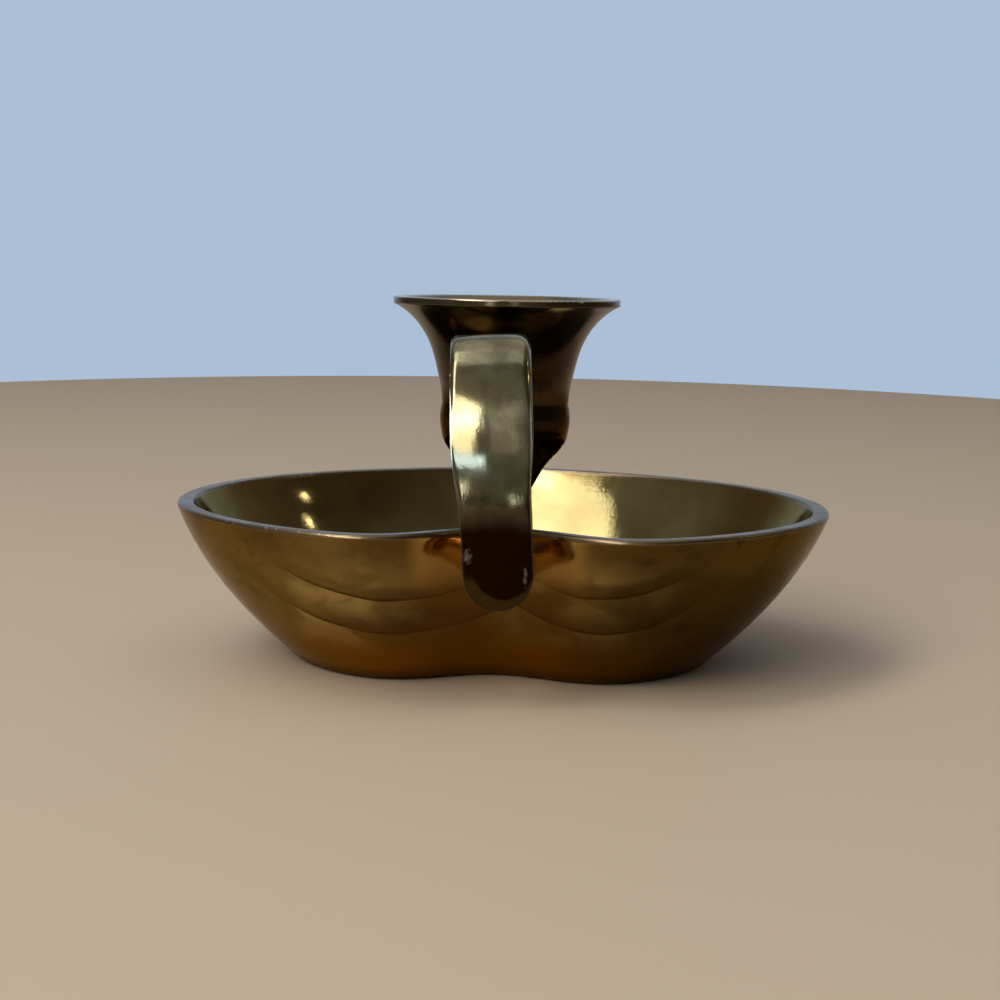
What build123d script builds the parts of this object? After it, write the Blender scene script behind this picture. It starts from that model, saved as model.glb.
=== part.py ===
from build123d import *
import math
import os

# A cast brass chamberstick: a heart-shaped tray, a turned candle cup screwed to its floor from
# below, and a finger loop that straddles the wall at the cleft of the heart.
# Frame: millimetres, +Z up, z = 0 on the table. The origin lies under the candle cup's axis.
# The cleft and the finger loop are on the -Y side, and the heart's tip is on the +Y side.

# Tray: the heart is an ellipse with another reach to the front than to the back, a bell-shaped
# cleft at the front and a bell-shaped point at the back. Sizes are those of the outer wall.
rim_half_width = 63.0
rim_front_reach = 60.0
rim_back_reach = 62.5
rim_cleft_depth = 17.2
rim_tip_rise = 3.4
base_half_width = 39.6
base_front_reach = 36.0
base_back_reach = 39.5
base_cleft_depth = 13.7
base_tip_rise = 2.0
cleft_spread = 15.4
tray_height = 30.1
wall_thickness = 3.2
floor_thickness = 4.4
belly_share = 0.55
base_edge_radius = 5.0
base_edge_turn = 40.0
inside_round = 5.0
rim_outer_round = 0.7
rim_inner_round = 0.5
foot_ring_width = 6.0
foot_ring_height = 1.0
outline_points = 72
level_shares = (0.0, 0.25, 0.5, 0.75, 1.0)
foot_turn_shares = (0.0, 0.25, 0.5, 0.75, 1.0)
cavity_overrun_share = 1.05

# Candle cup: one turning with a trumpet mouth, a socket, a bead, a slim stem and a foot.
candle_radius = 11.0
socket_clearance = 0.15
socket_depth = 10.0
socket_floor_height = 44.0
cup_height = 69.4
lip_radius = 21.8
lip_thickness = 1.3
lip_width = 1.5
lip_round = 0.3
waist_radius = 12.2
waist_height = 49.4
bead_swell = 0.35
bead_width = 6.0
stem_radius = 4.8
stem_top_height = 30.0
stem_foot_height = 17.0
foot_radius = 9.0
foot_thickness = 2.0
trumpet_shares = ((0.52, 0.81), (0.24, 0.565), (0.07, 0.24))
mouth_shares = ((0.20, 0.43), (0.54, 0.80))
bowl_shares = ((0.78, 0.74), (0.41, 0.51), (0.14, 0.25))
foot_shares = ((0.16, 0.42),)
flare_slope_share = 0.45
waist_slope_share = 0.05
bead_slope_share = 0.1
foot_slope_share = 0.1
mouth_slope_share = 0.35

# Cup screw: it comes up through the floor into the stem, with a plain washer under its head.
cup_screw_radius = 2.5
cup_screw_grip = 11.0
cup_screw_hole_margin = 2.0
cup_screw_head_radius = 4.2
cup_screw_head_height = 1.3
washer_radius = 5.0
washer_thickness = 0.6
counterbore_clearance = 0.4
counterbore_depth = 1.4

# Finger loop: a cast strap bent over the wall, with a boss outside and a saddle inside. It sits
# turned a little about its screw, so that its top leans to the left.
strap_thickness = 2.8
strap_width = 14.0
strap_foot_width = 12.2
loop_rim_gap = 5.4
loop_top_height = 63.8
arch_radius = 12.5
arch_back_radius = 9.0
arch_lean = 29.2
lean_radius = 50.0
loop_turn = 3.3
tongue_end_height = 17.0
inner_end_height = 13.4
taper_low_height = 33.0
taper_high_height = 47.0
strap_outer_round = 1.5
strap_inner_round = 0.6
boss_radius = 4.2
boss_wall_radius = 5.2
saddle_top_height = 26.6
bedding_gap = 0.05
facing_share = 0.5

# Loop screw: it goes out through the saddle and the wall into the boss.
loop_screw_height = 22.6
loop_screw_radius = 2.0
loop_screw_head_radius = 3.6
loop_screw_head_height = 1.9
loop_screw_end_margin = 2.4

# Shared by both screws.
thread_clearance = 0.05
shank_clearance = 0.2
slot_width = 0.9
slot_depth = 0.7
screw_edge_round = 0.4
overrun = 5.0

# Places that follow from the sizes above.
counterbore_roof = foot_ring_height + counterbore_depth
washer_low = counterbore_roof - washer_thickness
cup_screw_low = washer_low - cup_screw_head_height
socket_radius = candle_radius + socket_clearance
socket_top = socket_floor_height + socket_depth
loop_reach = rim_front_reach - rim_cleft_depth + loop_rim_gap + strap_thickness
arch_height = loop_top_height - arch_radius
lean_turn = math.radians(arch_lean)
lean_start = arch_height - (lean_radius - arch_radius) * math.sin(lean_turn)
arch_reach = loop_reach - lean_radius + (lean_radius - arch_radius) * math.cos(lean_turn)
inner_leg_reach = arch_reach - arch_back_radius
loop_screw_tip = loop_reach - strap_thickness - loop_screw_end_margin
wall_middle = (rim_front_reach - rim_cleft_depth + base_front_reach - base_cleft_depth) / 2


def tray_size(base, rim, level):
    """A size of the heart at a share of the tray's height, with the wall slightly bellied."""
    return base + (rim - base) * level * (1 + belly_share * (1 - level))


def heart_outline(level, inset):
    """Closed curve of the wall at one level, moved in from the outer face by the inset."""
    half_width = tray_size(base_half_width, rim_half_width, level)
    front = tray_size(base_front_reach, rim_front_reach, level)
    back = tray_size(base_back_reach, rim_back_reach, level)
    cleft = tray_size(base_cleft_depth, rim_cleft_depth, level)
    tip = tray_size(base_tip_rise, rim_tip_rise, level)
    points = []
    for index in range(outline_points):
        turn = 2 * math.pi * index / outline_points
        at_front = math.cos(turn) > 0
        reach = front if at_front else back
        bell_height = cleft if at_front else tip
        x = half_width * math.sin(turn)
        bell = bell_height * math.exp(-((x / cleft_spread) ** 2))
        y = bell - reach * math.cos(turn)
        slope_x = half_width * math.cos(turn)
        slope_y = reach * math.sin(turn) - 2 * x / cleft_spread**2 * bell * slope_x
        scale = inset / math.hypot(slope_x, slope_y)
        points.append((x - slope_y * scale, y + slope_x * scale, tray_height * level))
    return Spline(*points, periodic=True)


def heart_face(level, inset):
    """Flat heart at one level of the wall, its border moved in by the inset."""
    return make_face(Wire([heart_outline(level, inset).edge()]))


def heart_body(levels, inset):
    """Solid heart that fills the wall's levels."""
    return loft([heart_face(level, inset) for level in levels])


def rounded_foot():
    """Levels and insets of the outer face's lowest part, where it rounds under into the base."""
    turn = math.radians(base_edge_turn)
    sections = []
    for share in foot_turn_shares:
        height = base_edge_radius * (1 - math.cos(turn * share))
        inward = base_edge_radius * (math.tan(turn / 2) - math.sin(turn * share))
        sections.append((height / tray_height, inward + height / math.tan(turn)))
    return sections


def make_outside(gap):
    """Whole outer form of the tray, moved out by the gap."""
    foot = rounded_foot()
    wall_start = foot[-1][0]
    wall = heart_body([wall_start + (1 - wall_start) * share for share in level_shares], -gap)
    return wall + loft([heart_face(level, inset - gap) for level, inset in foot], ruled=True)


def make_cavity(inset):
    """Inside of the tray, run past the rim, with a rounded corner at the floor."""
    floor_share = floor_thickness / tray_height
    span = cavity_overrun_share - floor_share
    cavity = heart_body([floor_share + span * share for share in level_shares], inset)
    floor_edge = cavity.edges().sort_by(Axis.Z)[0]
    return fillet(floor_edge, inside_round)


def level_rod(radius, start, end):
    """Rod along the loop screw's axis, between two distances to the front of the cup's axis."""
    plane = Plane(origin=(0, -start, loop_screw_height), x_dir=(1, 0, 0), z_dir=(0, -1, 0))
    return extrude(plane * Circle(radius), end - start)


def standing_rod(radius, low, high):
    """Rod on the cup's axis, between two heights."""
    return extrude(Plane.XY.offset(low) * Circle(radius), high - low)


def rim_borders(tray):
    """Closed edges of the rim's flat top, the shortest first."""
    low = tray_height - rim_inner_round / 2
    high = tray_height + rim_inner_round / 2
    near_top = tray.edges().filter_by_position(Axis.Z, low, high)
    return near_top.filter_by(lambda edge: edge.is_closed).sort_by(SortBy.LENGTH)


def make_tray():
    """Heart-shaped tray with a foot ring, a screw hole in its floor and one in its wall."""
    tray = make_outside(0) - make_cavity(wall_thickness)
    tray = fillet(rim_borders(tray)[-1], rim_outer_round)
    tray = fillet(rim_borders(tray)[0], rim_inner_round)
    tray -= extrude(heart_face(0, foot_ring_width), foot_ring_height)
    tray -= standing_rod(washer_radius + counterbore_clearance, 0, counterbore_roof)
    tray -= standing_rod(cup_screw_radius + shank_clearance, 0, floor_thickness + overrun)
    return tray - level_rod(loop_screw_radius + shank_clearance, 0, loop_reach)


def between(start, end, shares):
    """Points at shares of the way across and up from one point of a section to another."""
    return [(start[0] + (end[0] - start[0]) * a, start[1] + (end[1] - start[1]) * b) for a, b in shares]


def cup_section():
    """Half section of the cup: radius across, height up, from the lip round to the lip again."""
    lip_under = (lip_radius, cup_height - lip_thickness)
    waist = (waist_radius, waist_height)
    bead_middle = (waist_radius + bead_swell, waist_height - bead_width / 2)
    bead_low = (waist_radius, waist_height - bead_width)
    stem_top = (stem_radius, stem_top_height)
    stem_low = (stem_radius, stem_foot_height)
    foot_top = (foot_radius, floor_thickness + foot_thickness)
    foot_low = (foot_radius, floor_thickness)
    socket_rim = (socket_radius, socket_top)
    lip_inside = (lip_radius - lip_width, cup_height)
    lip_outside = (lip_radius, cup_height)
    trumpet = between(waist, lip_under, trumpet_shares)
    bowl = between(stem_top, bead_low, bowl_shares)
    foot = between(stem_low, foot_top, foot_shares)
    mouth = between(socket_rim, lip_inside, mouth_shares)
    edges = [
        Line(lip_outside, lip_under),
        Spline(lip_under, *trumpet, waist, tangents=[(-1, -flare_slope_share), (-waist_slope_share, -1)]),
        ThreePointArc(waist, bead_middle, bead_low),
        Spline(bead_low, *bowl, stem_top, tangents=[(-bead_slope_share, -1), (0, -1)]),
        Line(stem_top, stem_low),
        Spline(stem_low, *foot, foot_top, tangents=[(0, -1), (1, -foot_slope_share)]),
        Line(foot_top, foot_low),
        Line(foot_low, (0, floor_thickness)),
        Line((0, floor_thickness), (0, socket_floor_height)),
        Line((0, socket_floor_height), (socket_radius, socket_floor_height)),
        Line((socket_radius, socket_floor_height), socket_rim),
        Spline(socket_rim, *mouth, lip_inside, tangents=[(0, 1), (1, mouth_slope_share)]),
        Line(lip_inside, lip_outside),
    ]
    return make_face(Plane.XZ * Wire(edges))


def make_candle_cup():
    """Turned candle cup with a blind tapped hole up its stem."""
    cup = revolve(cup_section(), Axis.Z)
    rings = cup.edges().filter_by(GeomType.CIRCLE)
    cup = fillet(rings.filter_by(lambda ring: ring.radius > lip_radius - lip_width / 2), lip_round)
    hole_top = floor_thickness + cup_screw_grip + cup_screw_hole_margin
    return cup - standing_rod(cup_screw_radius + thread_clearance, floor_thickness, hole_top)


def screw_slot(head_radius, head_face):
    """Screwdriver slot across a head that faces down, its bottom at the slot's depth."""
    return Pos(0, 0, head_face) * Box(2 * head_radius + overrun, slot_width, 2 * slot_depth)


def make_cup_screw():
    """Slotted screw, head down, from the counterbore up into the stem."""
    head = standing_rod(cup_screw_head_radius, cup_screw_low, washer_low)
    head = fillet(head.edges().sort_by(Axis.Z)[0], screw_edge_round)
    shank = standing_rod(cup_screw_radius, washer_low, floor_thickness + cup_screw_grip)
    shank = chamfer(shank.edges().sort_by(Axis.Z)[-1], screw_edge_round)
    return head + shank - screw_slot(cup_screw_head_radius, cup_screw_low)


def make_cup_washer():
    """Plain washer under the head of the cup screw."""
    ring = standing_rod(washer_radius, washer_low, counterbore_roof)
    return ring - standing_rod(cup_screw_radius + shank_clearance, washer_low, counterbore_roof)


def strap_line(depth):
    """Side view of the strap at a depth below its outer face, as edges from tongue to inner end."""
    lean_centre = (lean_radius - loop_reach, lean_start)
    arch_centre = (-arch_reach, arch_height)
    back_height = loop_top_height - arch_back_radius
    back_centre = (-arch_reach, back_height)
    front = depth - loop_reach
    back = -inner_leg_reach - depth
    return [
        Line((front, tongue_end_height), (front, lean_start)),
        CenterArc(lean_centre, lean_radius - depth, 180, -arch_lean),
        CenterArc(arch_centre, arch_radius - depth, 180 - arch_lean, arch_lean - 90),
        CenterArc(back_centre, arch_back_radius - depth, 90, -90),
        Line((back, back_height), (back, inner_end_height)),
    ]


def leg_outline(end_height):
    """Front view of one leg: a rounded end, a narrow foot, and a taper up to the full width."""
    foot = strap_foot_width / 2
    top = strap_width / 2
    high = loop_top_height + overrun
    bend = end_height + foot
    side = [
        Line((foot, bend), (foot, taper_low_height)),
        Spline((foot, taper_low_height), (top, taper_high_height), tangents=[(0, 1), (0, 1)]),
        Line((top, taper_high_height), (top, high)),
    ]
    other = [edge.edge().mirror(Plane.YZ) for edge in side]
    closing = [ThreePointArc((-foot, bend), (0, end_height), (foot, bend)), Line((-top, high), (top, high))]
    return make_face(Wire(side + other + closing))


def leg_space(end_height, start, end):
    """Prism of a leg's front view between two distances to the front of the cup's axis."""
    plane = Plane(origin=(0, -start, 0), x_dir=(1, 0, 0), z_dir=(0, -1, 0))
    return extrude(plane * leg_outline(end_height), end - start)


def strap_side_faces(strap):
    """Outer faces and inner faces of the strap, without its sides and its rounded ends."""
    middle = Vector(0, -arch_reach, arch_height)
    outer = []
    inner = []
    for face in strap.faces():
        normal = face.normal_at()
        flat = abs(normal.X) < facing_share and normal.Z > -facing_share
        bent = face.geom_type == GeomType.CYLINDER and abs(face.axis_of_rotation.direction.X) > facing_share
        if flat or bent:
            side = outer if normal.dot(face.center() - middle) > 0 else inner
            side.append(face)
    return outer, inner


def border(faces):
    """Edges that only one of the faces has."""
    edges = [edge for face in faces for edge in face.edges()]
    return [edge for edge in edges if sum(edge.is_same(other) for other in edges) == 1]


def make_strap():
    """Bent strap of the finger loop, with rounded edges."""
    ends = [
        Line((-loop_reach, tongue_end_height), (strap_thickness - loop_reach, tongue_end_height)),
        Line((-inner_leg_reach, inner_end_height), (-inner_leg_reach - strap_thickness, inner_end_height)),
    ]
    profile = make_face(Plane.YZ * Wire(strap_line(0) + strap_line(strap_thickness) + ends))
    band = extrude(profile, strap_width, both=True)
    outer_leg = band & leg_space(tongue_end_height, arch_reach, loop_reach + overrun)
    inner_leg = band & leg_space(inner_end_height, 0, arch_reach)
    strap = outer_leg + inner_leg
    strap = fillet(border(strap_side_faces(strap)[0]), strap_outer_round)
    return fillet(border(strap_side_faces(strap)[1]), strap_inner_round)


def turned_about_screw(piece):
    """The piece turned about the loop screw's axis, its top to the left."""
    return Pos(0, 0, loop_screw_height) * Rot(0, -loop_turn, 0) * Pos(0, 0, -loop_screw_height) * piece


def make_finger_loop():
    """Strap with the boss that meets the wall outside and the saddle that meets it inside."""
    boss_place = (0, strap_thickness / 2 - loop_reach, loop_screw_height)
    boss_plane = Plane(origin=boss_place, x_dir=(1, 0, 0), z_dir=(0, 1, 0))
    along = (Align.CENTER, Align.CENTER, Align.MIN)
    boss = boss_plane * Cone(boss_radius, boss_wall_radius, loop_reach - wall_middle, align=along)
    boss -= make_outside(bedding_gap)
    saddle = leg_space(inner_end_height, inner_leg_reach + strap_thickness / 2, loop_reach)
    low_part = Box(strap_width, 2 * loop_reach, saddle_top_height)
    saddle &= Pos(0, -loop_reach, saddle_top_height / 2) * low_part
    saddle = turned_about_screw(saddle) & make_cavity(wall_thickness + bedding_gap)
    loop = turned_about_screw(make_strap()) + boss + saddle
    loop -= level_rod(loop_screw_radius + shank_clearance, 0, wall_middle)
    tapped_end = loop_screw_tip + thread_clearance
    return loop - level_rod(loop_screw_radius + thread_clearance, wall_middle, tapped_end)


def make_loop_screw():
    """Slotted round-headed screw, its head on the cup side of the finger loop."""
    head = level_rod(loop_screw_head_radius, inner_leg_reach - loop_screw_head_height, inner_leg_reach)
    head = fillet(head.edges().sort_by(Axis.Y)[-1], loop_screw_head_height / 2)
    shank = level_rod(loop_screw_radius, inner_leg_reach, loop_screw_tip)
    shank = chamfer(shank.edges().sort_by(Axis.Y)[0], screw_edge_round)
    slot_place = Pos(0, loop_screw_head_height - inner_leg_reach, loop_screw_height)
    return head + shank - slot_place * Box(2 * loop_screw_head_radius, 2 * slot_depth, slot_width)


os.makedirs("parts", exist_ok=True)
pieces = {
    "tray": make_tray(),
    "candle_cup": make_candle_cup(),
    "cup_screw": make_cup_screw(),
    "cup_washer": make_cup_washer(),
    "finger_loop": make_finger_loop(),
    "loop_screw": make_loop_screw(),
}
for name, piece in pieces.items():
    export_step(piece, "parts/" + name + ".step")
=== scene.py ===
import bpy
import math
from mathutils import Matrix, Quaternion, Vector, noise


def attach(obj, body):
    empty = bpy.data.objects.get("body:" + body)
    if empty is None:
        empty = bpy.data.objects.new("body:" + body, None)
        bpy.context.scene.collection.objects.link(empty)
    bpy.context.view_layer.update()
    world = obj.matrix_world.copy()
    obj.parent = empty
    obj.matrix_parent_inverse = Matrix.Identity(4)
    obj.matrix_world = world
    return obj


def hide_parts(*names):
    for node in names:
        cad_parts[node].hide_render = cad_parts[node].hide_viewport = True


# Sizes of the tray and the finger loop are in millimetres up to the place where a mesh is made. The
# floor, materials, lights and camera are in metres. The cleft of the heart and the finger loop are on
# the -Y side, and the candle cup's axis stands on the origin.
MM = 0.001

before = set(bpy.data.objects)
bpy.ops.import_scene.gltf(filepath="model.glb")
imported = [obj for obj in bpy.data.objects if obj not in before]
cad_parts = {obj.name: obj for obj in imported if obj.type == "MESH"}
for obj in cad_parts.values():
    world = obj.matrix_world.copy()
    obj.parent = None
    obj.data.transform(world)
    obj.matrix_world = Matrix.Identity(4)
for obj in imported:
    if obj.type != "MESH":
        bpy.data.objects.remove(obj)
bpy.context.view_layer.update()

# Heart sizes at the base and at the rim: half width, front reach, back reach, cleft depth, tip rise.
base_sizes = (39.6, 36.0, 39.5, 13.7, 2.0)
rim_sizes = (63.0, 60.0, 62.5, 17.2, 3.4)
cleft_spread = 15.4
cleft_shift = -1.0
belly_share = 0.55

# Tray.
tray_height = 30.1
wall_thickness = 3.2
floor_thickness = 4.4
foot_ring_inset = 6.0
foot_ring_height = 1.0
foot_round = 5.0
foot_turn = math.radians(40.0)
rim_lean = math.radians(20.0)
rim_outer_round = 0.7
rim_inner_round = 0.5
floor_round = 5.0
floor_turn = math.radians(42.0)
screw_hole_radius = 2.7
counterbore_radius = 5.4
counterbore_roof = 2.4

# Hand-made unevenness, always into the metal, and how far the whole outer wall is drawn in.
wall_unevenness = 0.16
rim_unevenness = 0.03
strap_unevenness = 0.04
wall_wave_size = 22.0
strap_wave_size = 9.0
wall_draw_in = 0.015

# Steps along the tray's section and round it.
heart_columns = 360
foot_steps = 8
outer_wall_steps = 52
inner_wall_steps = 44
outer_round_steps = 8
inner_round_steps = 6
floor_round_steps = 8
floor_steps = 20
underside_steps = 8
fade_steps = 8
rim_fade_steps = 10

# Finger loop: its line.
strap_thickness = 2.8
strap_half_width = 7.0
strap_foot_half_width = 6.1
loop_reach = 51.0
loop_top_height = 63.8
arch_radius = 12.5
arch_back_radius = 9.0
arch_lean = math.radians(29.2)
lean_radius = 50.0
loop_turn = math.radians(3.3)
tongue_end_height = 17.0
inner_end_height = 13.4
taper_low_height = 33.0
taper_high_height = 47.0

# Finger loop: crown and bow of its face, and its edge rounds, which grow over the top.
face_crown = 0.6
inner_face_share = 0.3
face_bow = -0.4
bow_start_below_taper = 8.0
top_start_drop = 14.0
top_end_drop = 3.0
edge_across = 0.6
edge_down = 0.55
right_top_growth = (2.2, 1.2)
left_top_growth = (0.5, 0.4)
inner_edge_round = 0.6

# Finger loop: boss and saddle.
boss_radius = 4.2
boss_wall_radius = 5.2
strap_flare = 0.9
wall_flare = 0.7
sunk_depth = 0.2
saddle_top_height = 26.6
saddle_half_width = 6.0
saddle_corner = 1.0
loop_screw_height = 22.6


# Meshes

def make_piece(name, points, faces, sharp=35.0):
    """Object from points in millimetres, smooth apart from its sharp edges."""
    mesh = bpy.data.meshes.new(name)
    mesh.from_pydata([tuple(c * MM for c in p) for p in points], [], faces)
    mesh.validate()
    mesh.polygons.foreach_set("use_smooth", [True] * len(mesh.polygons))
    mesh.set_sharp_from_angle(angle=math.radians(sharp))
    mesh.update()
    piece = bpy.data.objects.new(name, mesh)
    bpy.context.scene.collection.objects.link(piece)
    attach(piece, "root")
    return piece


def grid_faces(rows, columns, closed_rows, closed_columns, start=0):
    """Quads between rows of points, each row with the same number of columns."""
    faces = []
    for i in range(rows if closed_rows else rows - 1):
        for j in range(columns if closed_columns else columns - 1):
            a = start + i * columns + j
            b = start + i * columns + (j + 1) % columns
            c = start + ((i + 1) % rows) * columns + (j + 1) % columns
            d = start + ((i + 1) % rows) * columns + j
            faces.append((a, b, c, d))
    return faces


def capped_tube(rows, columns, start, outward_first):
    """Faces of a tube of rows of points, closed by one face at each end."""
    faces = grid_faces(rows, columns, False, True, start)
    first = [start + j for j in range(columns)]
    last = [start + (rows - 1) * columns + j for j in range(columns)]
    if outward_first:
        return faces + [tuple(reversed(first)), tuple(last)]
    return faces + [tuple(first), tuple(reversed(last))]


def smooth_step(value, low, high):
    """0 below low, 1 above high and smooth between."""
    t = min(1.0, max(0.0, (value - low) / (high - low)))
    return t * t * (3 - 2 * t)


def uneven(x, y, z, size, amount):
    """Smooth hand-made unevenness between 0 and the amount."""
    return amount * (0.5 + 0.5 * noise.noise(Vector((x, y, z)) / size))


def heart_point(turn, level, inset):
    """Point of the wall's outline at a share of its height, moved in from the outer face."""
    swell = level * (1 + belly_share * (1 - level))
    half, front, back, cleft, tip = (b + (r - b) * swell for b, r in zip(base_sizes, rim_sizes))
    at_front = math.cos(turn) > 0
    reach = front if at_front else back
    height = cleft if at_front else tip
    middle = cleft_shift * (1 - level) if at_front else 0.0
    x = half * math.sin(turn)
    bell = height * math.exp(-(((x - middle) / cleft_spread) ** 2))
    y = bell - reach * math.cos(turn)
    slope_x = half * math.cos(turn)
    slope_y = reach * math.sin(turn) - 2 * (x - middle) / cleft_spread ** 2 * bell * slope_x
    scale = inset / math.hypot(slope_x, slope_y)
    return x - slope_y * scale, y + slope_x * scale


turns = [2 * math.pi * (j + 0.5) / heart_columns for j in range(heart_columns)]


def heart_row(level, inset, height=None, wave=0.0):
    """One row of the tray: the outline at a level and inset, uneven inwards, or outwards for a minus."""
    z = tray_height * level if height is None else height
    row = []
    for turn in turns:
        x, y = heart_point(turn, level, inset)
        if wave:
            extra = uneven(x, y, z, wall_wave_size, abs(wave)) * (1 if wave > 0 else -1)
            x, y = heart_point(turn, level, inset + extra)
        row.append((x, y, z))
    return row


def circle_row(radius, height):
    """A round row whose points lie in the directions of the foot ring's points."""
    row = []
    for turn in turns:
        x, y = heart_point(turn, 0, foot_ring_inset)
        scale = radius / math.hypot(x, y)
        row.append((x * scale, y * scale, height))
    return row


def blend_rows(a, b, shares):
    """Rows between two rows, at shares of the way."""
    return [[tuple(p + (q - p) * s for p, q in zip(u, v)) for u, v in zip(a, b)] for s in shares]


def equal_shares(count):
    """Shares from the first step to the whole way."""
    return [k / count for k in range(1, count + 1)]


def foot_rows():
    """Flat of the foot ring and the round from it to the wall."""
    rows = [heart_row(0, foot_ring_inset, 0.0)]
    flat_end = foot_round * math.tan(foot_turn / 2)
    rows += blend_rows(rows[0], heart_row(0, flat_end, 0.0), (0.5, 0.9))
    for k in range(foot_steps + 1):
        t = foot_turn * k / foot_steps
        height = foot_round * (1 - math.cos(t))
        inward = foot_round * (math.tan(foot_turn / 2) - math.sin(t)) + height / math.tan(foot_turn)
        rows.append(heart_row(height / tray_height, inward, height))
    return rows


def outer_wall_rows():
    """Outside of the wall and the outer round of the rim."""
    start = foot_round * (1 - math.cos(foot_turn)) / tray_height
    run = rim_outer_round / math.tan((math.pi / 2 - rim_lean) / 2)
    end = 1 - run * math.cos(rim_lean) / tray_height
    rows = []
    for k in range(1, outer_wall_steps + 1):
        level = start + (end - start) * k / outer_wall_steps
        rim_fade = (outer_wall_steps + 2 - k) / rim_fade_steps
        wave = wall_unevenness * min(1.0, k / fade_steps, rim_fade)
        rows.append(heart_row(level, wall_draw_in, wave=wave))
    for k in range(1, outer_round_steps + 1):
        t = (math.pi / 2 + rim_lean) * (1 - k / outer_round_steps)
        inset = wall_draw_in + run - rim_outer_round * math.sin(t)
        height = tray_height - rim_outer_round + rim_outer_round * math.cos(t)
        rows.append(heart_row(1, inset, height, wave=rim_unevenness))
    return rows


def rim_rows(outer_edge):
    """Flat of the rim and its inner round."""
    run = rim_inner_round / math.tan((math.pi / 2 + rim_lean) / 2)
    rows = blend_rows(outer_edge, heart_row(1, wall_thickness - run, tray_height), (0.3, 0.7, 1.0))
    for k in range(1, inner_round_steps + 1):
        t = (math.pi / 2 - rim_lean) * k / inner_round_steps
        inset = wall_thickness - run + rim_inner_round * math.sin(t)
        height = tray_height - rim_inner_round + rim_inner_round * math.cos(t)
        rows.append(heart_row(1, inset, height))
    return rows


def inside_rows():
    """Inside of the wall and the round to the floor."""
    drop = (rim_inner_round - rim_inner_round * math.cos(math.pi / 2 - rim_lean)) / tray_height
    start = 1 - drop
    floor_level = floor_thickness / tray_height
    end = floor_level + floor_round * (1 - math.cos(floor_turn)) / tray_height
    rows = []
    for k in range(1, inner_wall_steps + 1):
        level = start - (start - end) * k / inner_wall_steps
        wave = -wall_unevenness * min(1.0, k / fade_steps, (inner_wall_steps - k) / fade_steps)
        rows.append(heart_row(level, wall_thickness, wave=wave))
    run = floor_round * math.tan(floor_turn / 2)
    for k in range(1, floor_round_steps + 1):
        t = floor_turn * (1 - k / floor_round_steps)
        inset = wall_thickness + run - floor_round * math.sin(t)
        rows.append(heart_row(floor_level, inset, floor_thickness + floor_round * (1 - math.cos(t))))
    return rows


def floor_rows(edge):
    """Floor, screw hole, counterbore and the underside within the foot ring."""
    rows = blend_rows(edge, circle_row(screw_hole_radius, floor_thickness), equal_shares(floor_steps))
    rows.append(circle_row(screw_hole_radius, counterbore_roof))
    rows.append(circle_row(counterbore_radius, counterbore_roof))
    rows.append(circle_row(counterbore_radius, foot_ring_height))
    ring_roof = heart_row(0, foot_ring_inset, foot_ring_height)
    return rows + blend_rows(rows[-1], ring_roof, equal_shares(underside_steps))


def make_tray():
    """Heart-shaped tray: foot ring, bellied wall, rounded rim, dished inside and screw hole."""
    rows = foot_rows() + outer_wall_rows()
    rows += rim_rows(rows[-1])
    rows += inside_rows()
    rows += floor_rows(rows[-1])
    points = [p for row in rows for p in row]
    return make_piece("tray_body", points, grid_faces(len(rows), heart_columns, True, True))


def strap_line():
    """Stations of the strap's outer face, from tongue to inner end: y, z, outward y, outward z."""
    arch_height = loop_top_height - arch_radius
    lean_start = arch_height - (lean_radius - arch_radius) * math.sin(arch_lean)
    arch_reach = loop_reach - lean_radius + (lean_radius - arch_radius) * math.cos(arch_lean)
    inner_reach = arch_reach - arch_back_radius
    back_height = loop_top_height - arch_back_radius
    foot = strap_foot_half_width
    stations = []

    def add_straight(y, low, high, steps, outward):
        for k in range(1, steps + 1):
            stations.append((y, low + (high - low) * k / steps, outward, 0.0))

    def add_arc(middle, height, radius, first, sweep, steps):
        for k in range(1, steps + 1):
            t = first + sweep * k / steps
            y = middle - radius * math.cos(t)
            stations.append((y, height + radius * math.sin(t), -math.cos(t), math.sin(t)))

    tip_steps = 16
    for k in range(tip_steps + 1):
        t = math.pi / 2 * k / tip_steps
        stations.append((-loop_reach, tongue_end_height + foot * (1 - math.cos(t)), -1.0, 0.0))
    add_straight(-loop_reach, tongue_end_height + foot, lean_start, 8, -1.0)
    add_arc(lean_radius - loop_reach, lean_start, lean_radius, 0.0, arch_lean, 30)
    add_arc(-arch_reach, arch_height, arch_radius, arch_lean, math.pi / 2 - arch_lean, 30)
    add_arc(-arch_reach, back_height, arch_back_radius, math.pi / 2, math.pi / 2, 36)
    add_straight(-inner_reach, back_height, inner_end_height + foot, 30, 1.0)
    for k in range(1, tip_steps + 1):
        t = math.pi / 2 * (1 - k / tip_steps)
        stations.append((-inner_reach, inner_end_height + foot * (1 - math.cos(t)), 1.0, 0.0))
    return stations


def turn_about_screw(x, y, z):
    """The point turned about the loop screw's axis, so that the loop's top leans to the left."""
    rise = z - loop_screw_height
    return (x * math.cos(loop_turn) - rise * math.sin(loop_turn), y,
            loop_screw_height + x * math.sin(loop_turn) + rise * math.cos(loop_turn))


def round_off(distance, across, down):
    """Depth of an elliptical edge round at a distance from the border."""
    left = 1 - min(1.0, max(0.0, distance / across))
    return down * (1 - math.sqrt(max(0.0, 1 - left * left)))


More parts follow.
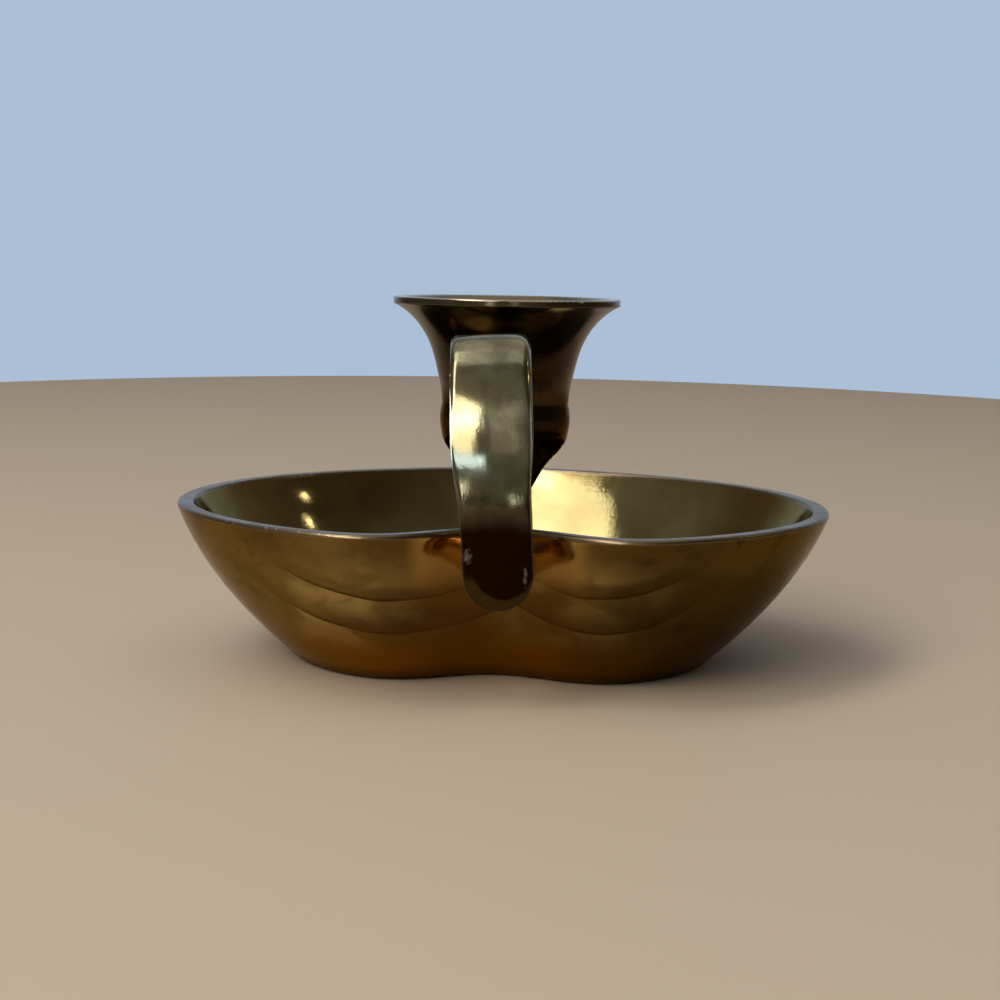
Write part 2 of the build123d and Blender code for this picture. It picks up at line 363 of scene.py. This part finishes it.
def make_strap():
    """Bent strap with a slightly crowned face, rounded edges and rounded ends."""
    stations = strap_line()
    half_steps = 14
    angles = [math.pi / 2 * k / half_steps for k in range(-half_steps, half_steps + 1)]
    foot = strap_foot_half_width
    bow_start = taper_low_height - bow_start_below_taper
    points = []
    for y, z, ny, nz in stations:
        on_front_leg = ny < 0 and z < loop_top_height / 2
        centre = (tongue_end_height if on_front_leg else inner_end_height) + foot
        half = foot + (strap_half_width - foot) * smooth_step(z, taper_low_height, taper_high_height)
        in_tip = z < centre
        if in_tip:
            half = math.sqrt(max(0.0, foot ** 2 - (centre - z) ** 2))
        over = smooth_step(z, loop_top_height - top_start_drop, loop_top_height - top_end_drop)
        facing = 1.0 if ny < 0 else inner_face_share
        crown = face_crown * facing * (1 - 0.5 * over)
        bow = face_bow * facing * math.sin(math.pi * smooth_step(z, bow_start, loop_top_height))

        def border_gap(x):
            return foot - math.hypot(x, centre - z) if in_tip else half - abs(x)

        def face_depth(x):
            growth = right_top_growth if x > 0 else left_top_growth
            across, down = edge_across + growth[0] * over, edge_down + growth[1] * over
            gap = border_gap(x)
            depth = round_off(gap, across, down) + crown * (x / strap_half_width) ** 2
            wobble = uneven(x, y, z, strap_wave_size, strap_unevenness) * smooth_step(gap, 0.0, 2.0)
            return min(down + 0.1, depth) + wobble

        for t in angles:
            x = half * math.sin(t)
            depth = face_depth(x)
            points.append(turn_about_screw(x + bow, y - ny * depth, z - nz * depth))
        for t in reversed(angles):
            x = half * math.sin(t)
            depth = strap_thickness - round_off(border_gap(x), inner_edge_round, inner_edge_round)
            points.append(turn_about_screw(x + bow, y - ny * depth, z - nz * depth))
    return points, grid_faces(len(stations), 2 * len(angles), False, True)


def wall_place(x, z, inset):
    """The wall's y at the cleft, for a place across and a height."""
    level = z / tray_height
    low, high = -1.0, 1.0
    halvings = 40
    for _ in range(halvings):
        turn = (low + high) / 2
        if heart_point(turn, level, inset)[0] < x:
            low = turn
        else:
            high = turn
    return heart_point(turn, level, inset)[1]


def make_boss(start):
    """Boss from the strap to the outside of the wall, flared at both ends."""
    columns = 64
    near = strap_thickness / 2 - loop_reach
    shares = [0.0, 0.12, 0.16, 0.2, 0.25, 0.3, 0.4, 0.5, 0.6, 0.7, 0.8, 0.88, 0.94, 1.0]
    points = []
    for share in shares:
        flare = strap_flare * (1 - smooth_step(share, 0.1, 0.34)) + wall_flare * smooth_step(share, 0.72, 1.0)
        radius = boss_radius + (boss_wall_radius - boss_radius) * share + flare
        for j in range(columns):
            t = 2 * math.pi * j / columns
            x = radius * math.cos(t)
            z = loop_screw_height + radius * math.sin(t)
            far = wall_place(x, z, 0.0) + sunk_depth
            points.append((x, near + (far - near) * share, z))
    return points, capped_tube(len(shares), columns, start, True)


def saddle_outline():
    """Outline of the saddle across and upwards: round below, with two rounded top corners."""
    half = saddle_half_width
    centre = inner_end_height + strap_foot_half_width
    top = saddle_top_height - saddle_corner
    outline = []

    def add_arc(x, z, radius, first, sweep, steps):
        for k in range(steps + 1):
            t = first + sweep * k / steps
            outline.append((x + radius * math.cos(t), z + radius * math.sin(t)))

    add_arc(0.0, centre, half, math.pi, math.pi, 24)
    add_arc(half - saddle_corner, top, saddle_corner, 0.0, math.pi / 2, 6)
    add_arc(saddle_corner - half, top, saddle_corner, math.pi / 2, math.pi / 2, 6)
    return outline


def make_saddle(start, leg_face):
    """Block between the inner leg and the inside of the wall, with a rounded lower end."""
    outline = saddle_outline()
    steps = 8
    points = []
    for i in range(steps + 1):
        for x, z in outline:
            turned_x, _, turned_z = turn_about_screw(x, 0.0, z)
            far = wall_place(turned_x, turned_z, wall_thickness) - sunk_depth
            points.append((turned_x, leg_face + (far - leg_face) * i / steps, turned_z))
    return points, capped_tube(steps + 1, len(outline), start, False)


def make_loop():
    """Finger loop: strap, boss and saddle."""
    points, faces = make_strap()
    more, sides = make_boss(len(points))
    points, faces = points + more, faces + sides
    leg_face = strap_line()[-1][0] - strap_thickness / 2
    more, sides = make_saddle(len(points), leg_face)
    points, faces = points + more, faces + sides
    return make_piece("loop_strap", points, faces, sharp=40.0)


# Materials

class Nodes:
    """Short calls to build one material's nodes."""

    def __init__(self, name):
        self.material = bpy.data.materials.new(name)
        self.material.use_nodes = True
        self.tree = self.material.node_tree
        self.shader = self.tree.nodes["Principled BSDF"]

    def add(self, kind, inputs=(), **settings):
        node = self.tree.nodes.new(kind)
        for key, value in settings.items():
            setattr(node, key, value)
        for key, value in dict(inputs).items():
            self.set(node.inputs[key], value)
        return node

    def set(self, socket, value):
        """Link an output to the socket, or write a plain value on it."""
        if hasattr(value, "is_output"):
            self.tree.links.new(value, socket)
        else:
            socket.default_value = value

    def place(self):
        return self.add("ShaderNodeTexCoord").outputs["Object"]

    def normal(self):
        return self.add("ShaderNodeNewGeometry").outputs["Normal"]

    def parts(self, vector):
        return self.add("ShaderNodeSeparateXYZ", {"Vector": vector}).outputs

    def stretch(self, vector, scale):
        return self.add("ShaderNodeMapping", {"Vector": vector, "Scale": scale}).outputs[0]

    def noise(self, vector, scale, detail=3.0, rough=0.5, warp=0.0):
        inputs = {"Vector": vector, "Scale": scale, "Detail": detail, "Roughness": rough, "Distortion": warp}
        return self.add("ShaderNodeTexNoise", inputs).outputs["Fac"]

    def maths(self, operation, a, b=0.0, c=0.0):
        return self.add("ShaderNodeMath", {0: a, 1: b, 2: c}, operation=operation).outputs[0]

    def times(self, first, *others):
        """Product of several values."""
        for other in others:
            first = self.maths("MULTIPLY", first, other)
        return first

    def span(self, value, low, high, out_low=0.0, out_high=1.0):
        inputs = {"Value": value, "From Min": low, "From Max": high, "To Min": out_low, "To Max": out_high}
        return self.add("ShaderNodeMapRange", inputs, interpolation_type="SMOOTHSTEP").outputs[0]

    def mix(self, factor, a, b, blend="MIX"):
        node = self.add("ShaderNodeMix", data_type="RGBA", blend_type=blend)
        self.set(node.inputs[0], factor)
        self.set(node.inputs[6], a)
        self.set(node.inputs[7], b)
        return node.outputs[2]

    def ramp(self, value, stops):
        """Smooth curve through (place, level) stops, places from 0 to 1."""
        node = self.add("ShaderNodeValToRGB", {"Fac": value})
        node.color_ramp.interpolation = "EASE"
        while len(node.color_ramp.elements) < len(stops):
            node.color_ramp.elements.new(1.0)
        for element, (place, level) in zip(node.color_ramp.elements, stops):
            element.position = place
            element.color = (level, level, level, 1.0)
        return node.outputs[0]

    def edge(self, radius):
        """0 on open faces, up to 1 along convex and concave edges."""
        bevel = self.add("ShaderNodeBevel", {"Radius": radius}, samples=6)
        inputs = {0: bevel.outputs[0], 1: self.normal()}
        dot = self.add("ShaderNodeVectorMath", inputs, operation="DOT_PRODUCT")
        return self.span(dot.outputs["Value"], 0.999, 0.93)

    def hollow(self, distance):
        """0 in the open, up to 1 where surfaces meet in a corner."""
        shade = self.add("ShaderNodeAmbientOcclusion", {"Distance": distance}, samples=6)
        return self.span(shade.outputs["AO"], 0.85, 0.35)

    def bump(self, height, distance, strength=1.0, under=None):
        node = self.add("ShaderNodeBump", {"Height": height, "Distance": distance, "Strength": strength})
        if under is not None:
            self.set(node.inputs["Normal"], under)
        return node.outputs[0]


def rgb(r, g, b):
    return (r, g, b, 1.0)


def brass(name, tones, rough_low, rough_high, scratch_scale, scratch_depth, wave_depth, corner_shade, glancing,
          extra=None):
    """Aged brass: mottled tone, tarnished spots, painted shade in corners, fine scratches and grain.

    The tones are light, middle and dark, and glancing is the tint of reflections at a low angle. The
    extra function adds what belongs to one piece.
    """
    light, middle, dark = tones
    corner_shade_colour = rgb(0.03, 0.018, 0.01)
    corner_reach = 0.003
    grain_depth = 0.000008
    n = Nodes(name)
    place = n.place()
    broad = n.noise(n.stretch(place, (1.0, 1.0, 1.6)), 42.0, 3.0, 0.5, 0.6)
    blotch = n.noise(place, 150.0, 4.0, 0.6, 0.8)
    fleck = n.noise(place, 900.0, 3.0, 0.6)
    grain = n.noise(place, 3200.0, 2.0, 0.5)
    scratch = n.noise(n.stretch(place, scratch_scale), 1.0, 3.0, 0.6, 0.2)
    colour = n.mix(n.span(broad, 0.38, 0.62), middle, light)
    colour = n.mix(n.times(n.span(blotch, 0.5, 0.72), 0.55), colour, dark)
    colour = n.mix(n.times(n.span(fleck, 0.66, 0.74), 0.5), colour, dark)
    rough = n.span(blotch, 0.3, 0.75, rough_low, rough_high)
    rough = n.maths("ADD", rough, n.span(scratch, 0.55, 0.75, 0.0, 0.06))
    if extra:
        colour, rough, glancing = extra(n, place, colour, rough, glancing)
    # Painted shade: the colour turns near black, and rougher, where the occlusion node finds corners and
    # recesses.
    corner = n.hollow(corner_reach)
    n.set(n.shader.inputs["Base Color"], n.mix(n.times(corner, corner_shade), colour, corner_shade_colour))
    n.set(n.shader.inputs["Roughness"], n.maths("ADD", rough, n.times(corner, 0.2)))
    n.set(n.shader.inputs["Specular Tint"], glancing)
    n.shader.inputs["Metallic"].default_value = 1.0
    under = n.bump(n.noise(place, 75.0, 2.0, 0.4), wave_depth)
    under = n.bump(scratch, scratch_depth, 1.0, under)
    under = n.bump(n.maths("ADD", n.times(grain, 0.5), fleck), grain_depth, 1.0, under)
    n.set(n.shader.inputs["Normal"], under)
    return n.material


def painted_wall_reflection(n, place, soft, outside, colour):
    """Painted reflection on the wall: golden patches, with dark lines that dip in the middle of each lobe."""
    x, z = (n.parts(place)[k] for k in (0, 2))
    reflected_gold = rgb(0.5, 0.36, 0.135)
    reflected_line_brown = rgb(0.05, 0.022, 0.006)
    cleft_x, lobe_x = 0.0015, 0.017
    first_line, line_gap = 0.0181, 0.007
    side = n.maths("SUBTRACT", n.maths("ABSOLUTE", n.maths("SUBTRACT", x, cleft_x)), lobe_x)
    dip = n.times(side, side, n.span(x, -0.006, 0.006, -11.5, -19.0))
    level = n.maths("ADD", n.maths("MULTIPLY_ADD", x, -0.035, z), n.maths("MULTIPLY_ADD", soft, 0.0022, dip))
    band = n.maths("FRACT", n.maths("DIVIDE", n.maths("SUBTRACT", first_line, level), -line_gap))
    lined = n.times(n.span(level, 0.0215, 0.0200), n.span(level, 0.0085, 0.0100))
    # Painted reflection patches across the wall from -50 mm to 50 mm, and up it to 33 mm.
    along = n.maths("MULTIPLY_ADD", n.maths("MULTIPLY_ADD", soft, 0.012, x), 10.0, 0.5)
    across_stops = ((0.05, 0.1), (0.11, 0.3), (0.16, 1.0), (0.25, 1.0), (0.31, 0.42),
                    (0.45, 0.3), (0.55, 0.85), (0.64, 0.75), (0.74, 0.25), (0.86, 0.05))
    height_stops = ((0.12, 0.0), (0.3, 0.75), (0.45, 1.0), (0.62, 0.9), (0.85, 0.15))
    reflection_patch = n.times(n.ramp(along, across_stops), n.ramp(n.times(z, 30.0), height_stops), outside)
    patch_fade = n.maths("MULTIPLY_ADD", n.span(band, 0.05, 0.95), 0.8, -0.8)
    patch_falloff = n.maths("MULTIPLY_ADD", patch_fade, lined, 1.0)
    patches = n.noise(n.stretch(place, (1.0, 1.0, 1.5)), 95.0, 3.0, 0.55, 0.4)
    # Painted reflection: golden patches that stand for mirrored bright places.
    colour = n.mix(n.times(reflection_patch, patch_falloff, n.span(patches, 0.36, 0.6, 0.35, 1.0)), colour, reflected_gold)
    # Painted reflection: thin dark curved lines where each band starts again.
    line = n.times(n.span(band, 0.12, 0.02), n.span(band, 0.0, 0.015), lined)
    line = n.times(line, n.times(n.span(reflection_patch, 0.0, 0.3), n.span(x, -0.040, -0.031)))
    line = n.times(line, n.span(n.noise(place, 120.0, 2.0), 0.3, 0.5, 0.25, 0.72))
    return n.mix(line, colour, reflected_line_brown)


def wall_painted_light(n, place, outside, colour):
    """Outer wall, with painted shade and reflection: darker towards the right lobe and the rim, warmer at the
    cleft and the base.
    """
    x, z = (n.parts(place)[k] for k in (0, 2))
    left_tint, right_shade_tint = rgb(0.54, 0.52, 0.45), rgb(0.29, 0.27, 0.16)
    cleft_shade_brown, painted_light_gold = rgb(0.24, 0.1, 0.012), rgb(0.46, 0.28, 0.08)
    left_base_reflection, right_base_reflection = rgb(0.34, 0.14, 0.006), rgb(0.14, 0.05, 0.003)
    soft = n.maths("SUBTRACT", n.noise(place, 55.0, 2.0), 0.5)
    # Painted shade: the outer wall darkens towards the right lobe, as if shaded from light on the left.
    tint = n.mix(n.span(n.maths("MULTIPLY_ADD", soft, 0.03, x), -0.014, 0.022), left_tint, right_shade_tint)
    colour = n.mix(outside, colour, n.mix(1.0, colour, tint, "MULTIPLY"))
    colour = painted_wall_reflection(n, place, soft, outside, colour)
    from_cleft = n.maths("ABSOLUTE", x)
    # Painted shade: darker brown in the valley of the cleft.
    cleft = n.times(n.span(from_cleft, 0.02, 0.007), outside, 0.5)
    colour = n.mix(cleft, colour, cleft_shade_brown)
    # Painted light: golden lightening on the wall beside the strap, over where it would mirror the strap's
    # dark side.
    lit_beside_strap = n.times(n.span(from_cleft, 0.0165, 0.0125), n.span(z, 0.018, 0.024), outside, 0.9)
    colour = n.mix(lit_beside_strap, colour, painted_light_gold)
    # Painted reflection of the shaded floor: warm dark brown towards the base, darker under the right lobe.
    low = n.times(n.span(z, 0.014, 0.003), outside, 0.85)
    return n.mix(low, colour, n.mix(n.span(x, 0.0, 0.03), left_base_reflection, right_base_reflection))


def tray_wear_and_painted_light(n, place, colour, rough, glancing):
    """Worn pale rim, painted shade and painted reflection with golden patches and dark lines on the wall,
    olive inside.
    """
    z = n.parts(place)[2]
    upward = n.parts(n.normal())[2]
    dark_olive, light_olive = rgb(0.2, 0.165, 0.07), rgb(0.27, 0.235, 0.11)
    rim_grey, chip_pale, rim_glancing = rgb(0.18, 0.14, 0.105), rgb(0.55, 0.48, 0.36), rgb(1.0, 0.97, 0.93)
    colour = wall_painted_light(n, place, n.span(upward, 0.1, -0.2), colour)
    # Inside: olive and glossier than the wall.
    inside = n.times(n.span(upward, 0.15, 0.45), n.span(z, 0.0299, 0.0293))
    olive = n.mix(n.span(n.noise(place, 60.0, 3.0), 0.35, 0.65), dark_olive, light_olive)
    colour = n.mix(inside, colour, olive)
    rough = n.times(rough, n.maths("SUBTRACT", 1.0, n.times(inside, 0.6)))
    # Rim: pale from handling, with small bright chips.
    rim = n.span(z, 0.0290, 0.0299)
    colour = n.mix(n.times(rim, 0.85), colour, rim_grey)
    chips = n.times(n.span(n.noise(place, 1100.0, 2.0, 0.6), 0.58, 0.66), n.span(z, 0.0294, 0.0299))
    chips = n.times(chips, n.span(n.noise(place, 45.0, 1.0), 0.5, 0.6, 0.1, 0.8))
    colour = n.mix(chips, colour, chip_pale)
    rough = n.maths("ADD", rough, n.times(rim, 0.16))
    return colour, rough, n.mix(rim, glancing, rim_glancing)


def loop_tip_reflection(n, x, z, warp, colour):
    """Painted reflection: an olive border along the tongue's round end, where its rounded edge mirrors the
    floor.
    """
    tip_x, tip_z = 0.0008, 0.0243
    inner_radius, outer_radius = 0.0050, 0.0055
    from_tip = n.add("ShaderNodeCombineXYZ", {"X": n.maths("ADD", x, -tip_x),
                                              "Z": n.maths("SUBTRACT", z, tip_z)})
    reach = n.add("ShaderNodeVectorMath", {0: from_tip.outputs[0]}, operation="LENGTH").outputs["Value"]
    reach = n.maths("MULTIPLY_ADD", warp, 0.0008, reach)
    band = n.times(n.span(reach, inner_radius, outer_radius), n.span(z, 0.0235, 0.0215), 0.85)
    return n.mix(band, colour, rgb(0.055, 0.034, 0.01))


def loop_pale_spots(n, place, x, z, colour):
    """Two small pale grey spots on the tongue: x, z, half width and half height."""
    for spot_x, spot_z, wide, tall in ((-0.0053, 0.0263, 0.0009, 0.0015), (0.0046, 0.0230, 0.0004, 0.0020)):
        part_x = n.maths("DIVIDE", n.maths("SUBTRACT", x, spot_x), wide)
        part_z = n.maths("DIVIDE", n.maths("SUBTRACT", z, spot_z), tall)
        spot = n.maths("ADD", n.times(part_x, part_x), n.times(part_z, part_z))
        spot = n.maths("MULTIPLY_ADD", n.noise(place, 1500.0, 2.0, 0.6), 3.0, spot)
        colour = n.mix(n.span(spot, 2.5, 1.3, 0.0, 0.6), colour, rgb(0.22, 0.2, 0.2))
    return colour


def loop_wear_and_painted_light(n, place, colour, rough, glancing):
    """Grey-olive face, almost black low down from tarnish and painted shade, thin pale edges from wear and a
    painted highlight, and warm bright back.
    """
    x, y, z = n.parts(place)[:3]
    backward = n.parts(n.normal())[1]
    cloud_olive, low_olive_and_shade = rgb(0.13, 0.105, 0.06), rgb(0.055, 0.045, 0.024)
    tarnish_and_shade, pale_edge_highlight, back_gold = rgb(0.013, 0.005, 0.002), rgb(0.55, 0.54, 0.5), rgb(0.62, 0.38, 0.13)
    warp = n.maths("SUBTRACT", n.noise(place, 260.0, 3.0), 0.5)
    cloud = n.span(n.noise(place, 170.0, 3.0, 0.55), 0.42, 0.6)
    colour = n.mix(n.times(cloud, 0.45), colour, cloud_olive)
    level = n.maths("MULTIPLY_ADD", warp, 0.004, z)
    # Tarnish and painted shade: the face goes dark olive and then almost black low down.
    colour = n.mix(n.span(level, 0.0385, 0.0345, 0.0, 0.85), colour, low_olive_and_shade)
    colour = n.mix(n.span(level, 0.0362, 0.0300), colour, tarnish_and_shade)
    colour = loop_tip_reflection(n, x, z, warp, colour)
    colour = loop_pale_spots(n, place, x, z, colour)
    # Pale edges, partly wear and partly a painted highlight, fading out low down.
    edge = n.times(n.edge(0.0007), n.span(z, 0.036, 0.05, 0.1, 0.75))
    colour = n.mix(edge, colour, pale_edge_highlight)
    rough = n.maths("ADD", rough, n.maths("MULTIPLY_ADD", edge, 0.1, n.span(z, 0.053, 0.060, 0.0, 0.05)))
    boss = n.times(n.span(y, -0.0496, -0.0488), n.span(z, 0.0365, 0.0335))
    behind = n.maths("MAXIMUM", boss, n.span(backward, -0.12, 0.3))
    colour = n.mix(n.times(behind, 0.9), colour, back_gold)
    return colour, rough, glancing


def cup_wear(n, place, colour, rough, glancing):
    """Dark turned cup with fine lathe rings and a paler lip."""
    z = n.parts(place)[2]
    upward = n.parts(n.normal())[2]
    lip_olive, mouth_tan, lip_pale = rgb(0.16, 0.14, 0.09), rgb(0.3, 0.22, 0.11), rgb(0.6, 0.55, 0.43)
    flare_glancing, lip_glancing = rgb(1.0, 0.99, 0.97), rgb(1.0, 1.0, 1.0)
    colour = n.mix(n.times(n.span(z, 0.0676, 0.0684), 0.6), colour, lip_olive)
    mouth = n.times(n.span(upward, 0.1, 0.5), n.span(z, 0.062, 0.068))
    colour = n.mix(n.times(mouth, 0.6), colour, mouth_tan)
    colour = n.mix(n.times(n.span(z, 0.0691, 0.0694), 0.95), colour, lip_pale)
    glancing = n.mix(n.span(z, 0.0495, 0.0535), glancing, flare_glancing)
    return colour, rough, n.mix(n.span(z, 0.0684, 0.0690), glancing, lip_glancing)


def dress(name, material):
    """Put the material on every slot of a CAD node."""
    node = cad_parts[name]
    if not node.material_slots:
        node.data.materials.append(material)
    for slot in node.material_slots:
        slot.material = material


# Scene

def add_floor():
    """Plain pale oval floor."""
    half_width, half_depth = 0.55, 0.9
    columns = 128
    angles = [2 * math.pi * j / columns for j in range(columns)]
    mesh = bpy.data.meshes.new("floor")
    points = [(half_width * math.cos(t), half_depth * math.sin(t), 0.0) for t in angles]
    mesh.from_pydata(points, [], [tuple(range(columns))])
    floor = bpy.data.objects.new("floor", mesh)
    bpy.context.scene.collection.objects.link(floor)
    floor_nodes = Nodes("floor")
    floor_nodes.shader.inputs["Base Color"].default_value = rgb(0.56, 0.45, 0.34)
    floor_nodes.shader.inputs["Roughness"].default_value = 0.8
    mesh.materials.append(floor_nodes.material)


def add_light(name, azimuth, elevation, distance, size, strength, colour, roll=0.0):
    """Soft rectangular light in a direction seen from the object; azimuth 0 is towards the camera."""
    target = Vector((0.0, -0.02, 0.03))
    a, e = math.radians(azimuth), math.radians(elevation)
    way = Vector((math.sin(a) * math.cos(e), -math.cos(a) * math.cos(e), math.sin(e)))
    width, height = size
    data = bpy.data.lights.new(name, "AREA")
    data.shape = "RECTANGLE"
    data.size = width
    data.size_y = height
    data.energy = strength * math.pi * width * height
    data.color = colour
    light = bpy.data.objects.new(name, data)
    light.location = target + way * distance
    turn = (-way).to_track_quat("-Z", "Y") @ Quaternion((0.0, 0.0, 1.0), math.radians(roll))
    light.rotation_euler = turn.to_euler()
    bpy.context.scene.collection.objects.link(light)


def add_lights():
    """Windows and lamps, each placed by the surface that mirrors it."""
    add_light("window", azimuth=-52.6, elevation=49.8, distance=1.3, size=(0.4, 1.0),
              strength=4.5, colour=(1.0, 0.97, 0.92), roll=33.0)
    add_light("low_window", azimuth=-28.8, elevation=31.0, distance=1.0, size=(0.54, 0.38),
              strength=5.0, colour=(1.0, 0.95, 0.78))
    add_light("sill", azimuth=-19.0, elevation=16.8, distance=1.0, size=(0.42, 0.09),
              strength=6.8, colour=(0.47, 0.68, 1.0))
    add_light("pane", azimuth=4.0, elevation=31.0, distance=1.0, size=(0.24, 0.36),
              strength=0.32, colour=(1.0, 0.99, 0.95))
    add_light("overhead", azimuth=-170.0, elevation=76.0, distance=1.25, size=(1.6, 1.45),
              strength=0.4, colour=(0.92, 0.97, 1.0))
    add_light("top_fill", azimuth=-95.0, elevation=70.0, distance=1.2, size=(0.5, 0.4),
              strength=2.0, colour=(1.0, 0.99, 0.97))
    add_light("spot_high", azimuth=100.8, elevation=30.6, distance=1.0, size=(0.017, 0.045),
              strength=34.0, colour=(1.0, 0.9, 0.8))
    add_light("spot_low", azimuth=110.9, elevation=37.0, distance=1.0, size=(0.022, 0.022),
              strength=36.0, colour=(1.0, 0.92, 0.75))
    add_light("glow_left", azimuth=-16.5, elevation=3.5, distance=1.0, size=(0.045, 0.13),
              strength=8.0, colour=(0.9, 0.97, 1.0))
    add_light("glow_right", azimuth=8.5, elevation=0.7, distance=1.0, size=(0.05, 0.05),
              strength=5.0, colour=(0.9, 0.97, 1.0))


def add_world():
    """Pale backdrop behind the object and dimmer surroundings on the camera's side."""
    low_front, high_front = (0.19, 0.18, 0.15, 1), (0.25, 0.245, 0.22, 1)
    right_side, far_sides, backdrop = (0.085, 0.07, 0.045, 1), (0.17, 0.13, 0.09, 1), (0.41, 0.52, 0.67, 1)
    world = bpy.data.worlds.new("studio")
    world.use_nodes = True
    tree = world.node_tree
    background = tree.nodes["Background"]
    place = tree.nodes.new("ShaderNodeTexCoord")
    parts = tree.nodes.new("ShaderNodeSeparateXYZ")
    tree.links.new(place.outputs["Generated"], parts.inputs[0])

    def blend(axis, low, high, a, b):
        """Colour a below low and b above high, along one axis of the direction."""
        share = tree.nodes.new("ShaderNodeMapRange")
        share.interpolation_type = "SMOOTHSTEP"
        share.inputs["From Min"].default_value = low
        share.inputs["From Max"].default_value = high
        tree.links.new(parts.outputs[axis], share.inputs["Value"])
        node = tree.nodes.new("ShaderNodeMix")
        node.data_type = "RGBA"
        tree.links.new(share.outputs[0], node.inputs[0])
        if hasattr(a, "is_output"):
            tree.links.new(a, node.inputs[6])
        else:
            node.inputs[6].default_value = a
        node.inputs[7].default_value = b
        return node.outputs[2]

    colour = blend("Z", 0.1, 0.45, low_front, high_front)
    colour = blend("X", 0.25, 0.75, colour, right_side)
    colour = blend("Y", 0.0, 0.5, colour, far_sides)
    colour = blend("Y", 0.6, 0.96, colour, backdrop)
    tree.links.new(colour, background.inputs[0])
    background.inputs[1].default_value = 1.0
    bpy.context.scene.world = world


def add_camera():
    """Camera in front of the cleft, a little above the candle cup, looking slightly down."""
    camera_place = (0.0050, -0.4053, 0.07845)
    pitch, yaw, roll = (math.radians(angle) for angle in (6.789, -0.798, 1.071))
    focal_pixels, frame_pixels, sensor_width = 2100.0, 1000.0, 36.0
    forward = Vector((math.sin(yaw) * math.cos(pitch), math.cos(yaw) * math.cos(pitch), -math.sin(pitch)))
    level = Vector((math.cos(yaw), -math.sin(yaw), 0.0))
    above = level.cross(forward)
    right = level * math.cos(roll) + above * math.sin(roll)
    up = above * math.cos(roll) - level * math.sin(roll)
    data = bpy.data.cameras.new("view")
    data.sensor_width = sensor_width
    data.lens = focal_pixels / frame_pixels * sensor_width
    data.clip_start = 0.01
    camera = bpy.data.objects.new("view", data)
    turn = Matrix((right, up, -forward)).transposed().to_4x4()
    camera.matrix_world = Matrix.Translation(camera_place) @ turn
    bpy.context.scene.collection.objects.link(camera)
    bpy.context.scene.camera = camera


tray = make_tray()
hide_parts("tray")
loop = make_loop()
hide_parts("finger_loop")

tray.data.materials.append(brass(
    "aged_cast_brass", (rgb(0.36, 0.22, 0.075), rgb(0.23, 0.125, 0.038), rgb(0.09, 0.045, 0.014)),
    rough_low=0.12, rough_high=0.24, scratch_scale=(140.0, 140.0, 2600.0), scratch_depth=0.000012,
    wave_depth=0.00004, corner_shade=0.45, glancing=rgb(0.75, 0.66, 0.52), extra=tray_wear_and_painted_light))
loop.data.materials.append(brass(
    "aged_loop_brass", (rgb(0.38, 0.35, 0.23), rgb(0.27, 0.24, 0.14), rgb(0.14, 0.11, 0.06)),
    rough_low=0.08, rough_high=0.15, scratch_scale=(2200.0, 300.0, 160.0), scratch_depth=0.000003,
    wave_depth=0.00002, corner_shade=0.6, glancing=rgb(0.9, 0.88, 0.82), extra=loop_wear_and_painted_light))
dress("candle_cup", brass(
    "aged_turned_brass", (rgb(0.065, 0.038, 0.014), rgb(0.035, 0.017, 0.006), rgb(0.012, 0.005, 0.002)),
    rough_low=0.12, rough_high=0.24, scratch_scale=(60.0, 60.0, 5200.0), scratch_depth=0.000012,
    wave_depth=0.00002, corner_shade=0.75, glancing=rgb(0.66, 0.56, 0.46), extra=cup_wear))
screw_brass = brass(
    "screw_brass", (rgb(0.6, 0.43, 0.18), rgb(0.45, 0.3, 0.11), rgb(0.14, 0.08, 0.03)),
    rough_low=0.2, rough_high=0.36, scratch_scale=(900.0, 900.0, 900.0), scratch_depth=0.000012,
    wave_depth=0.00001, corner_shade=0.75, glancing=rgb(0.9, 0.85, 0.75))
for name in ("cup_screw", "cup_washer", "loop_screw"):
    dress(name, screw_brass)

add_floor()
add_world()
add_camera()
add_lights()

bpy.context.scene.view_settings.view_transform = "Standard"
